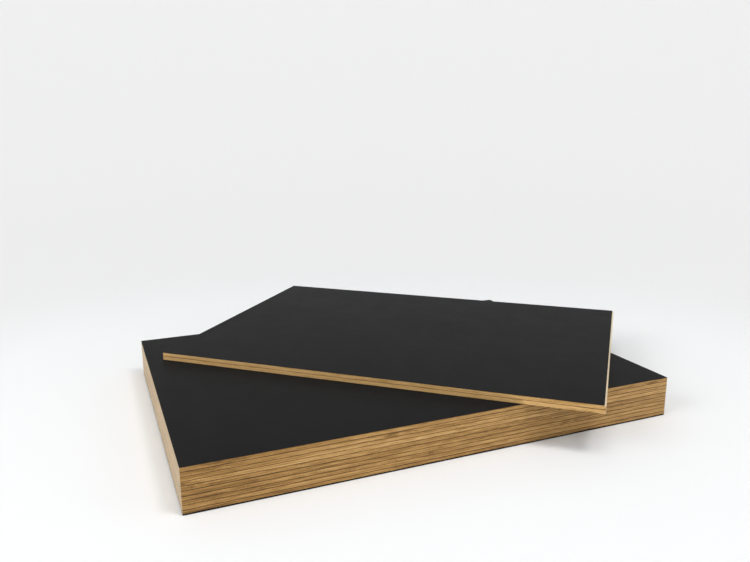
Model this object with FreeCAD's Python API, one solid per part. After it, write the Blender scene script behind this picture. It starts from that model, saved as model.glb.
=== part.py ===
import FreeCAD, Part
import os

# A small stack of thin black-faced high-density fibreboards, in millimetres.
#
# Ten boards lie in a flush pile. Two slightly smaller boards lie on top of it, one exactly on
# the other, turned askew, so that they overhang the pile in front, at the right and behind.
# Every board is one flat rectangular sheet with sawn edges. Nothing holds the boards together.
#
# Frame: the origin is the centre of the pile's underside. +X runs along the pile's long edges,
# +Y from its front to its back, and +Z up.

# The boards of the pile: their length and width, and each one's thickness, lowest board first.
# Nominal 2.5 mm boards vary a little from sheet to sheet. Together these make 25 mm.
PILE_LENGTH = 297.0
PILE_WIDTH = 210.0
PILE_THICKNESSES = (2.7, 2.6, 2.3, 2.3, 2.9, 2.6, 2.3, 2.3, 2.6, 2.4)

# The two loose boards on top, lowest first, and how far they are turned and shifted.
LOOSE_LENGTH = 286.0
LOOSE_WIDTH = 204.0
LOOSE_THICKNESSES = (2.6, 2.4)
LOOSE_TURN = -41.7
LOOSE_CENTRE_X = 36.5
LOOSE_CENTRE_Y = 36.5

# The long arrises, all round both faces of a board, are just broken. Its four corners stay sharp.
ARRIS = 0.1

UP = FreeCAD.Vector(0, 0, 1)
ORIGIN = FreeCAD.Vector(0, 0, 0)


def board(length, width, thickness):
    """One flat board, with the centre of its underside at the origin."""
    corner = FreeCAD.Vector(-length / 2, -width / 2, 0)
    blank = Part.makeBox(length, width, thickness, corner)
    rims = [edge for edge in blank.Edges if edge.BoundBox.ZLength < ARRIS]
    return blank.makeChamfer(ARRIS, rims)


def heights(thicknesses, base):
    """The height of each board's underside, when the boards lie on one another from base up."""
    undersides = []
    for thickness in thicknesses:
        undersides.append(base)
        base += thickness
    return undersides


def pile():
    """The ten flush boards, named from the bottom up."""
    boards = {}
    undersides = heights(PILE_THICKNESSES, 0.0)
    for number, (thickness, underside) in enumerate(zip(PILE_THICKNESSES, undersides), start=1):
        solid = board(PILE_LENGTH, PILE_WIDTH, thickness)
        solid.translate(UP * underside)
        boards[f"pile_board_{number:02d}"] = solid
    return boards


def loose_pair():
    """The two boards that lie askew on the pile."""
    boards = {}
    names = ("loose_board_lower", "loose_board_upper")
    undersides = heights(LOOSE_THICKNESSES, sum(PILE_THICKNESSES))
    for name, thickness, underside in zip(names, LOOSE_THICKNESSES, undersides):
        solid = board(LOOSE_LENGTH, LOOSE_WIDTH, thickness)
        solid.rotate(ORIGIN, UP, LOOSE_TURN)
        solid.translate(FreeCAD.Vector(LOOSE_CENTRE_X, LOOSE_CENTRE_Y, underside))
        boards[name] = solid
    return boards


os.makedirs("parts", exist_ok=True)
for node, shape in {**pile(), **loose_pair()}.items():
    shape.exportStep(f"parts/{node}.step")
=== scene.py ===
import math
import random

import bmesh
import bpy
from mathutils import Matrix, Vector, noise


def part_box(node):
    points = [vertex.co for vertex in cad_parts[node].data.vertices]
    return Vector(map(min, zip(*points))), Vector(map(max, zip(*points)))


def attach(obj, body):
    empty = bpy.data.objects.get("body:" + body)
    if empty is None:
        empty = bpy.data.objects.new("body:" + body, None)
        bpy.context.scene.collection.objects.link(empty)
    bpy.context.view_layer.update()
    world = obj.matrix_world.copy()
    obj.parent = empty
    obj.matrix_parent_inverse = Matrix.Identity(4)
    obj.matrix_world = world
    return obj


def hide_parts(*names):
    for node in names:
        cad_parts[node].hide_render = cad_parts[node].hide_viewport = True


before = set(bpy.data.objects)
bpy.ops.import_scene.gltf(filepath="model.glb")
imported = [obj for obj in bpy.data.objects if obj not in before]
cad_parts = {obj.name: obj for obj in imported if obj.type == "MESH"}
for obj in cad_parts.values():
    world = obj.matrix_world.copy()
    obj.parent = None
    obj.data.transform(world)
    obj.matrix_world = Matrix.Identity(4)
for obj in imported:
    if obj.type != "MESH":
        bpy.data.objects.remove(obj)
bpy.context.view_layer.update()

MM = 0.001

# The loose boards' length, width and turn, as in the CAD. Everything else is read from the frame.
LOOSE_SIZE = (286 * MM, 204 * MM)
LOOSE_TURN = math.radians(-41.7)

# A board's section: the broken arris, and the thin black facing that shows on it. Under the lowest
# board the black line is drawn thicker, as its facing and painted contact shadow on the floor.
ARRIS = 0.1 * MM
FACING = 0.025 * MM
LOWEST_FACING_AND_SHADOW = 0.9 * MM

# The upper loose board's right end has a small bevel where the saw came out.
EXIT_BEVEL = 0.9 * MM

# The sawn edge's mesh: a vertex every so often along it, and rows this far apart up it.
ALONG_STEP = 1.5 * MM
ROW_STEP = 0.3 * MM

# How deep the saw has left the fibres, how unevenly the boards are stacked, how worn the corners are.
RELIEF_DEPTH = 0.05 * MM
STACK_STEP = 0.06 * MM
CORNER_WEAR = 0.25 * MM
CORNER_REACH = 1.5 * MM

# How light each board's edge is, from the lowest board of the pile up, and the loose pair's.
PILE_TONES = (-0.06, 0.05, -0.01, 0.01, -0.04, -0.02, 0.11, 0.03, -0.01, -0.01)
LOOSE_TONES = {"loose_board_lower": 0.33, "loose_board_upper": 0.29}

# The seed of each board's grain: the pile's count up from 1, and the loose boards' from here.
FIRST_LOOSE_SEED = 21

# How far the boards' ends are painted paler than their sides, a painted sheen, from 0 to 1.
PILE_END_PAINTED_SHEEN = 0.28
LOOSE_END_PAINTED_SHEEN = 0.6

# Painted shade on the boards' sides toward one end: which (-1 left, 1 right), how dark, how far along.
PILE_PAINTED_SHADE = (-1, 0.17, 75 * MM)
LOOSE_PAINTED_SHADE = (1, 0.28, 190 * MM)

# The fibre's colours, from its darkest streaks to its lightest, and the painted sheen its ends pale
# toward.
FIBRE_COLOURS = (
    (0.05, (0.080, 0.031, 0.007)),
    (0.32, (0.222, 0.107, 0.017)),
    (0.50, (0.358, 0.186, 0.044)),
    (0.70, (0.508, 0.290, 0.090)),
    (0.95, (0.690, 0.428, 0.168)),
)
PAINTED_SHEEN_COLOUR = (0.78, 0.69, 0.50, 1)
FIBRE_TONE = 0.58

# The fibre's streaks: features per metre along a board and through it, shift, and strength.
FIBRE_STREAKS = (
    (7, 300, 0, 0.45),
    (28, 1300, 3, 0.75),
    (130, 3400, 5, 0.95),
    (75, 900, 7, 0.5),
    (2200, 2600, 9, 0.5),
)

# How much darker the dense skins and the stains are than the fibre round them.
SKIN_DARKNESS = 0.58
STAIN_DARKNESS = 0.22

# The facing's black, and the dust on it.
FACING_BLACK = (0.0139, 0.0139, 0.0140, 1)
DUST_COLOUR = (0.30, 0.28, 0.25, 1)

# The stage, in metres from its centre: the flat floor, the curve up from it, the wall above,
# and how far out the wall's shade goes on changing.
STAGE_FLAT = 0.9
STAGE_CURVE = 0.9
STAGE_WALL = 0.6
STAGE_REACH = 2.0
STAGE_SEGMENTS = 96
STAGE_FLAT_STEPS = 6
STAGE_CURVE_STEPS = 16

# The floor's paper, white and a trace cool, and how far out it turns into the greyer wall.
FLOOR_COLOUR = (0.957, 0.965, 0.970, 1)
WALL_STARTS = (0.28, 0.50)
WALL_SHADES = (0.855, 0.91)
WALL_SHARE = 0.85

# One measure for all the lamps and the room's light, and each lamp's place, size and power.
LIGHT_LEVEL = 0.80
ROOM_LIGHT = 0.41
LAMPS = {
    "key_softbox": ((0.38, -0.60, 1.5), 0.4, 7.6),
    "top_softbox": ((-0.15, -0.25, 1.5), 0.7, 5.2),
    "left_softbox": ((-1.3, -0.2, 0.9), 0.8, 9.2),
    "right_softbox": ((0.75, -0.6, 0.5), 0.5, 0.7),
}

# The camera, in the frame's metres: where it stands, where it heads, how far it looks down.
CAMERA_PLACE = (-0.1784, -0.4197, 0.1848)
CAMERA_HEADING = math.radians(67.59)
CAMERA_PITCH = math.radians(13.12)
CAMERA_ROLL = math.radians(0.35)
CAMERA_LENS = 33.93
SENSOR_WIDTH = 36.0


# ---------------------------------------------------------------- node helpers

def node(tree, kind, inputs=None, **settings):
    """A new shader node. An input's value is a number, a colour, or another node's output."""
    made = tree.nodes.new(kind)
    for name, value in settings.items():
        setattr(made, name, value)
    for name, value in (inputs or {}).items():
        if isinstance(value, bpy.types.NodeSocket):
            tree.links.new(value, made.inputs[name])
        else:
            made.inputs[name].default_value = value
    return made


def maths(tree, operation, first, second=0.0, third=0.0):
    """The output of a sum on numbers or other nodes' outputs."""
    made = node(tree, "ShaderNodeMath", {0: first, 1: second, 2: third}, operation=operation)
    return made.outputs[0]


def grain(tree, along, across, detail=3.0, roughness=0.6, shift=0.0):
    """Noise drawn out along a board: features per metre along its edges, and through it."""
    place = node(tree, "ShaderNodeTexCoord").outputs["Object"]
    scaled = node(tree, "ShaderNodeMapping", {
        "Vector": place,
        "Scale": (along, along, across),
        "Location": (shift, shift * 0.7, shift * 1.3),
    })
    pattern = node(tree, "ShaderNodeTexNoise", {
        "Vector": scaled.outputs[0],
        "Scale": 1.0,
        "Detail": detail,
        "Roughness": roughness,
    })
    return pattern.outputs["Fac"]


def plain_material(name):
    """A new material, with its node tree and its shader."""
    material = bpy.data.materials.new(name)
    material.use_nodes = True
    return material, material.node_tree, material.node_tree.nodes["Principled BSDF"]


# ------------------------------------------------------------------- materials

def painted_end_shade(tree, length, end, depth, reach):
    """Painted shade in patches, darkest at one end of a board and fading out along it."""
    along = node(tree, "ShaderNodeSeparateXYZ", {
        "Vector": node(tree, "ShaderNodeTexCoord").outputs["Object"],
    }).outputs["X"]
    nearness = node(tree, "ShaderNodeMapRange", {
        "Value": maths(tree, "MULTIPLY", along, end),
        "From Min": length / 2 - reach,
        "From Max": length / 2,
        "To Min": 0.0,
        "To Max": depth,
    }).outputs[0]
    patches = maths(tree, "MULTIPLY_ADD", grain(tree, 55, 150, shift=31), 1.8, -0.4)
    return maths(tree, "MULTIPLY", nearness, patches)


def dense_skins(tree, thickness, seed):
    """The dense skins along a board's two faces, from 0 up, stronger here and there."""
    height = node(tree, "ShaderNodeSeparateXYZ", {
        "Vector": node(tree, "ShaderNodeTexCoord").outputs["Object"],
    }).outputs["Z"]
    up = maths(tree, "MULTIPLY", height, 1 / thickness)
    from_middle = maths(tree, "ABSOLUTE", maths(tree, "SUBTRACT", up, 0.5))
    skin = node(tree, "ShaderNodeMapRange", {
        "Value": from_middle,
        "From Min": 0.38,
        "From Max": 0.5,
        "To Min": 0.0,
        "To Max": 1.0,
    }, interpolation_type="SMOOTHSTEP").outputs[0]
    scorch = maths(tree, "MULTIPLY_ADD", grain(tree, 22, 60, shift=seed + 13), 1.2, 0.45)
    return maths(tree, "MULTIPLY", skin, scorch)


def stains(tree, seed):
    """What a few dark stains take from the tone, from 0 to minus their darkness."""
    return node(tree, "ShaderNodeMapRange", {
        "Value": grain(tree, 45, 140, detail=4, shift=seed * 0.37 + 21),
        "From Min": 0.60,
        "From Max": 0.72,
        "To Min": 0.0,
        "To Max": -STAIN_DARKNESS,
    }, interpolation_type="SMOOTHSTEP").outputs[0]


def fibre_colour(tree, value):
    """The fibre's colour for a tone from 0, dark, to 1, light."""
    ramp = node(tree, "ShaderNodeValToRGB", {"Fac": value})
    points = ramp.color_ramp.elements
    for place, colour in FIBRE_COLOURS[1:-1]:
        points.new(place)
    for point, (place, colour) in zip(points, FIBRE_COLOURS):
        point.position = place
        point.color = (*colour, 1)
    return ramp.outputs["Color"]


def fibre_material(name, thickness, tone, seed, painted_sheen=0.0, shade_at_end=None):
    """The sawn edge: brown pressed fibre, streaked along the board, darker in its dense skins."""
    material, tree, shader = plain_material(name)
    streaks = [
        grain(tree, along, across, shift=seed + shift) for along, across, shift, _ in FIBRE_STREAKS
    ]
    skins = dense_skins(tree, thickness, seed)
    value = maths(tree, "MULTIPLY_ADD", skins, -SKIN_DARKNESS, FIBRE_TONE + tone)
    value = maths(tree, "ADD", value, stains(tree, seed))
    # Painted shade: the sides darken in patches toward one end.
    if shade_at_end:
        value = maths(tree, "SUBTRACT", value, painted_end_shade(tree, *shade_at_end))
    for pattern, (_, _, _, strength) in zip(streaks, FIBRE_STREAKS):
        centred = maths(tree, "SUBTRACT", pattern, 0.5)
        value = maths(tree, "MULTIPLY_ADD", centred, strength, value)

    # The ends are mixed toward a painted sheen, for the light that grazes them.
    colour = node(tree, "ShaderNodeMix", {
        "Factor": painted_sheen,
        "A": fibre_colour(tree, value),
        "B": PAINTED_SHEEN_COLOUR,
    }, data_type="RGBA")
    bump = node(tree, "ShaderNodeBump", {
        "Height": maths(tree, "ADD", streaks[1], streaks[2]),
        "Strength": 0.5,
        "Distance": 0.05 * MM,
    })
    rough = maths(tree, "MULTIPLY_ADD", streaks[2], 0.25, 0.5)
    tree.links.new(colour.outputs["Result"], shader.inputs["Base Color"])
    tree.links.new(bump.outputs["Normal"], shader.inputs["Normal"])
    tree.links.new(rough, shader.inputs["Roughness"])
    shader.inputs["Specular IOR Level"].default_value = 0.35
    shader.inputs["Sheen Weight"].default_value = 0.25
    shader.inputs["Sheen Roughness"].default_value = 0.5
    shader.inputs["Sheen Tint"].default_value = (1.0, 0.93, 0.82, 1)
    return material


def facing_material():
    """The satin black face: nearly even, with a fine peel, faint rubs and a little dust."""
    material, tree, shader = plain_material("black_facing")
    cloud = grain(tree, 14, 14, detail=4)
    rub = grain(tree, 70, 70, detail=6, roughness=0.7, shift=4)
    peel = grain(tree, 1300, 1300, detail=2, shift=7)
    speck = grain(tree, 900, 900, detail=1, shift=11)

    dust = node(tree, "ShaderNodeMapRange", {
        "Value": speck,
        "From Min": 0.73,
        "From Max": 0.80,
        "To Min": 0.0,
        "To Max": 0.06,
    }).outputs[0]
    tone = maths(tree, "MULTIPLY_ADD", cloud, 0.35, 0.825)
    colour = node(tree, "ShaderNodeMix", {
        "Factor": dust,
        "A": FACING_BLACK,
        "B": DUST_COLOUR,
    }, data_type="RGBA")
    shaded = node(tree, "ShaderNodeVectorMath", {
        0: colour.outputs["Result"],
        "Scale": tone,
    }, operation="SCALE")
    tree.links.new(shaded.outputs[0], shader.inputs["Base Color"])

    rough = maths(tree, "MULTIPLY_ADD", rub, 0.16, 0.32)
    tree.links.new(rough, shader.inputs["Roughness"])
    bump = node(tree, "ShaderNodeBump", {
        "Height": peel,
        "Strength": 0.25,
        "Distance": 0.02 * MM,
    })
    tree.links.new(bump.outputs["Normal"], shader.inputs["Normal"])
    shader.inputs["Specular IOR Level"].default_value = 0.011
    return material


# ---------------------------------------------------------------------- boards

def section_rows(thickness, under_facing_and_shadow):
    """The rows of vertices up a board's edge, as (height, inset from the edge's plane)."""
    lowest, highest = max(ARRIS, under_facing_and_shadow), thickness - ARRIS
    count = round((highest - lowest) / ROW_STEP)
    rows = [(0.0, ARRIS), (under_facing_and_shadow, max(0.0, ARRIS - under_facing_and_shadow))]
    if under_facing_and_shadow < ARRIS:
        rows.append((ARRIS, 0.0))
    rows += [(lowest + (highest - lowest) * step / count, 0.0) for step in range(1, count + 1)]
    rows += [(thickness - FACING, ARRIS - FACING), (thickness, ARRIS)]
    return rows


def outline(length, width):
    """Points round a board, as shares of its half length and half width, with its corners among them."""
    corners = [(-1, -1), (1, -1), (1, 1), (-1, 1)]
    sides = [length, width, length, width]
    points = []
    for index, side in enumerate(sides):
        start, end = Vector(corners[index]), Vector(corners[(index + 1) % 4])
        count = round(side / ALONG_STEP)
        points += [start.lerp(end, step / count) for step in range(count)]
    return points


def relief(x, y, z, seed):
    """How far in the sawn surface lies at a point, from 0 to 1: long furrows with finer fibres."""
    furrow = noise.noise(Vector((x * 45, y * 45, z * 1700 + seed)))
    fibre = noise.noise(Vector((x * 260, y * 260, z * 3000 - seed)))
    return min(1.0, max(0.0, 0.5 + 0.55 * furrow + 0.35 * fibre))


def corner_wear(x, y, length, width):
    """How much of the corner's wear reaches a point of the outline, from 0 to 1."""
    gap = math.hypot(length / 2 - abs(x), width / 2 - abs(y))
    return max(0.0, 1 - gap / CORNER_REACH) ** 2


def board_rings(bm, around, length, width, thickness, seed, under_facing_and_shadow, bevel):
    """Rings of vertices round a board, from its underside up, each with its inset and relief."""
    step_in = random.Random(seed).uniform(0, STACK_STEP)
    rings = []
    for height, inset in section_rows(thickness, under_facing_and_shadow):
        is_fibre = under_facing_and_shadow < height <= thickness - ARRIS
        bevel_in = max(0.0, bevel - (thickness - height))
        ring = []
        for share in around:
            x, y = share.x * length / 2, share.y * width / 2
            depth = inset + step_in + CORNER_WEAR * 0.5 * corner_wear(x, y, length, width)
            if is_fibre:
                depth += RELIEF_DEPTH * relief(x, y, height, seed * 7.3)
            depth_x = depth + (bevel_in if share.x > 0 else 0.0)
            place = (share.x * (length / 2 - depth_x), share.y * (width / 2 - depth), height)
            ring.append(bm.verts.new(place))
        rings.append(ring)
    return rings


def add_edge_faces(bm, rings, around):
    """The faces between each ring and the next: facing at both arrises, fibre between them."""
    count = len(around)
    last = len(rings) - 2
    for level, (low, high) in enumerate(zip(rings, rings[1:])):
        for index in range(count):
            after = (index + 1) % count
            face = bm.faces.new((low[index], low[after], high[after], high[index]))
            at_end = around[index].x == around[after].x
            face.material_index = 0 if level in (0, last) else 1 + at_end
            face.smooth = face.material_index > 0


def sharpen(bm, rings, length, width):
    """Shade the arrises and the four upright corners as sharp."""
    for edge in bm.edges:
        edge.smooth = all(face.smooth for face in edge.link_faces)
    side = round(length / ALONG_STEP)
    end = round(width / ALONG_STEP)
    for ring, above in zip(rings, rings[1:]):
        for corner in (0, side, side + end, 2 * side + end):
            bm.edges.get((ring[corner], above[corner])).smooth = False


def board_mesh(name, length, width, thickness, seed, under_facing_and_shadow, bevel):
    """One board with the centre of its underside at the origin. Material 0 faces it, 1 is the
    edge along its long sides, and 2 the edge at its ends."""
    around = outline(length, width)
    bm = bmesh.new()
    rings = board_rings(bm, around, length, width, thickness, seed, under_facing_and_shadow, bevel)
    add_edge_faces(bm, rings, around)
    bm.faces.new(reversed(rings[0]))
    bm.faces.new(rings[-1])
    sharpen(bm, rings, length, width)
    mesh = bpy.data.meshes.new(name)
    bm.to_mesh(mesh)
    bm.free()
    return mesh


def add_board(
    node_name, size, turn, tone, painted_sheen, seed, facing, shade_at_end, under_facing_and_shadow=FACING, bevel=0.0
):
    """A detailed board in the place of a CAD node."""
    low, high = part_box(node_name)
    thickness = high.z - low.z
    mesh = board_mesh(f"{node_name}_sheet", *size, thickness, seed, under_facing_and_shadow, bevel)
    mesh.materials.append(facing)
    mesh.materials.append(
        fibre_material(f"{node_name}_sides", thickness, tone, seed, shade_at_end=(size[0], *shade_at_end))
    )
    mesh.materials.append(fibre_material(f"{node_name}_ends", thickness, tone, seed + 0.5, painted_sheen))
    piece = bpy.data.objects.new(f"{node_name}_sheet", mesh)
    bpy.context.scene.collection.objects.link(piece)
    centre = (low + high) / 2
    piece.location = (centre.x, centre.y, low.z)
    piece.rotation_euler = (0, 0, turn)
    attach(piece, "root")
    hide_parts(node_name)
    return piece


def build_boards():
    """The ten boards of the pile and the two loose ones, each in the place of its CAD node."""
    facing = facing_material()
    for seed, tone in enumerate(PILE_TONES, start=1):
        name = f"pile_board_{seed:02d}"
        low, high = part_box(name)
        size = (high.x - low.x, high.y - low.y)
        # Under the lowest board the black band is its facing and painted contact shadow.
        under = LOWEST_FACING_AND_SHADOW if seed == 1 else FACING
        piece = add_board(
            name, size, 0.0, tone, PILE_END_PAINTED_SHEEN, seed, facing, PILE_PAINTED_SHADE, under_facing_and_shadow=under
        )
    for seed, (name, tone) in enumerate(LOOSE_TONES.items(), start=FIRST_LOOSE_SEED):
        bevel = EXIT_BEVEL if name == "loose_board_upper" else 0.0
        piece = add_board(
            name, LOOSE_SIZE, LOOSE_TURN, tone, LOOSE_END_PAINTED_SHEEN, seed, facing, LOOSE_PAINTED_SHADE,
            bevel=bevel,
        )


# ----------------------------------------------------------- stage, light, camera

def stage_profile():
    """The stage from its centre out, as (radius, height): a flat floor, a curve up and a wall."""
    points = [(STAGE_FLAT * step / STAGE_FLAT_STEPS, 0.0) for step in range(1, STAGE_FLAT_STEPS + 1)]
    for step in range(1, STAGE_CURVE_STEPS + 1):
        angle = math.pi / 2 * step / STAGE_CURVE_STEPS
        points.append((STAGE_FLAT + STAGE_CURVE * math.sin(angle), STAGE_CURVE * (1 - math.cos(angle))))
    points.append((STAGE_FLAT + STAGE_CURVE, STAGE_CURVE + STAGE_WALL))
    return points


def stage_material():
    """Matt white paper. Toward the wall, what the camera and reflections see turns a shade
    greyer, while the light that the paper gives the boards stays that of white paper."""
    material, tree, shader = plain_material("stage_paper")
    place = node(tree, "ShaderNodeTexCoord").outputs["Object"]
    reach = node(tree, "ShaderNodeVectorMath", {0: place}, operation="LENGTH").outputs["Value"]
    shader.inputs["Base Color"].default_value = FLOOR_COLOUR
    shader.inputs["Roughness"].default_value = 0.9
    shader.inputs["Specular IOR Level"].default_value = 0.0

    shade = node(tree, "ShaderNodeMapRange", {
        "Value": reach,
        "From Min": WALL_STARTS[1],
        "From Max": STAGE_REACH,
        "To Min": WALL_SHADES[0],
        "To Max": WALL_SHADES[1],
    }).outputs[0]
    wall = node(tree, "ShaderNodeEmission", {"Color": shade})
    ray = node(tree, "ShaderNodeLightPath").outputs
    shown = maths(tree, "MAXIMUM", ray["Is Camera Ray"], ray["Is Glossy Ray"])
    shown = maths(tree, "MAXIMUM", shown, ray["Is Transmission Ray"])
    share = node(tree, "ShaderNodeMapRange", {
        "Value": reach,
        "From Min": WALL_STARTS[0],
        "From Max": WALL_STARTS[1],
        "To Min": 0.0,
        "To Max": WALL_SHARE,
    }, interpolation_type="SMOOTHSTEP").outputs[0]
    mixed = node(tree, "ShaderNodeMixShader", {
        0: maths(tree, "MULTIPLY", shown, share),
        1: shader.outputs[0],
        2: wall.outputs[0],
    })
    tree.links.new(mixed.outputs[0], tree.nodes["Material Output"].inputs["Surface"])
    return material


def build_stage():
    """A round cove, so that every side of the object has the same background."""
    bm = bmesh.new()
    middle = bm.verts.new((0, 0, 0))
    rings = []
    for radius, height in stage_profile():
        ring = []
        for index in range(STAGE_SEGMENTS):
            angle = 2 * math.pi * index / STAGE_SEGMENTS
            ring.append(bm.verts.new((radius * math.cos(angle), radius * math.sin(angle), height)))
        rings.append(ring)
    for index in range(STAGE_SEGMENTS):
        after = (index + 1) % STAGE_SEGMENTS
        bm.faces.new((middle, rings[0][index], rings[0][after]))
        for inner, outer in zip(rings, rings[1:]):
            bm.faces.new((inner[index], outer[index], outer[after], inner[after]))
    for face in bm.faces:
        face.smooth = True
    mesh = bpy.data.meshes.new("stage")
    bm.to_mesh(mesh)
    bm.free()
    mesh.materials.append(stage_material())
    floor = bpy.data.objects.new("stage", mesh)
    bpy.context.scene.collection.objects.link(floor)


def add_lamp(name, place, size, power):
    """A square soft lamp that faces the middle of the stack."""
    lamp = bpy.data.lights.new(name, "AREA")
    lamp.size = size
    lamp.energy = power * LIGHT_LEVEL
    holder = bpy.data.objects.new(name, lamp)
    holder.location = place
    aim = Vector((0.0, 0.0, 0.02)) - Vector(place)
    holder.rotation_euler = aim.to_track_quat("-Z", "Y").to_euler()
    bpy.context.scene.collection.objects.link(holder)


def build_light():
    """An even white room and the soft lamps."""
    world = bpy.data.worlds.new("soft_room")
    world.use_nodes = True
    backdrop = world.node_tree.nodes["Background"]
    backdrop.inputs["Color"].default_value = (1, 1, 1, 1)
    backdrop.inputs["Strength"].default_value = ROOM_LIGHT * LIGHT_LEVEL
    bpy.context.scene.world = world
    for name, (place, size, power) in LAMPS.items():
        add_lamp(name, place, size, power)


def build_camera():
    """A level camera turned to its heading, tipped down by its pitch and rolled."""
    data = bpy.data.cameras.new("camera")
    data.sensor_width = SENSOR_WIDTH
    data.lens = CAMERA_LENS
    camera = bpy.data.objects.new("camera", data)
    heading = Matrix.Rotation(CAMERA_HEADING - math.pi / 2, 4, "Z")
    tilt = Matrix.Rotation(math.pi / 2 - CAMERA_PITCH, 4, "X")
    roll = Matrix.Rotation(-CAMERA_ROLL, 4, "Z")
    camera.matrix_world = Matrix.Translation(CAMERA_PLACE) @ heading @ tilt @ roll
    bpy.context.scene.collection.objects.link(camera)
    bpy.context.scene.camera = camera


build_boards()
build_stage()
build_light()
build_camera()
bpy.context.scene.view_settings.view_transform = "Standard"
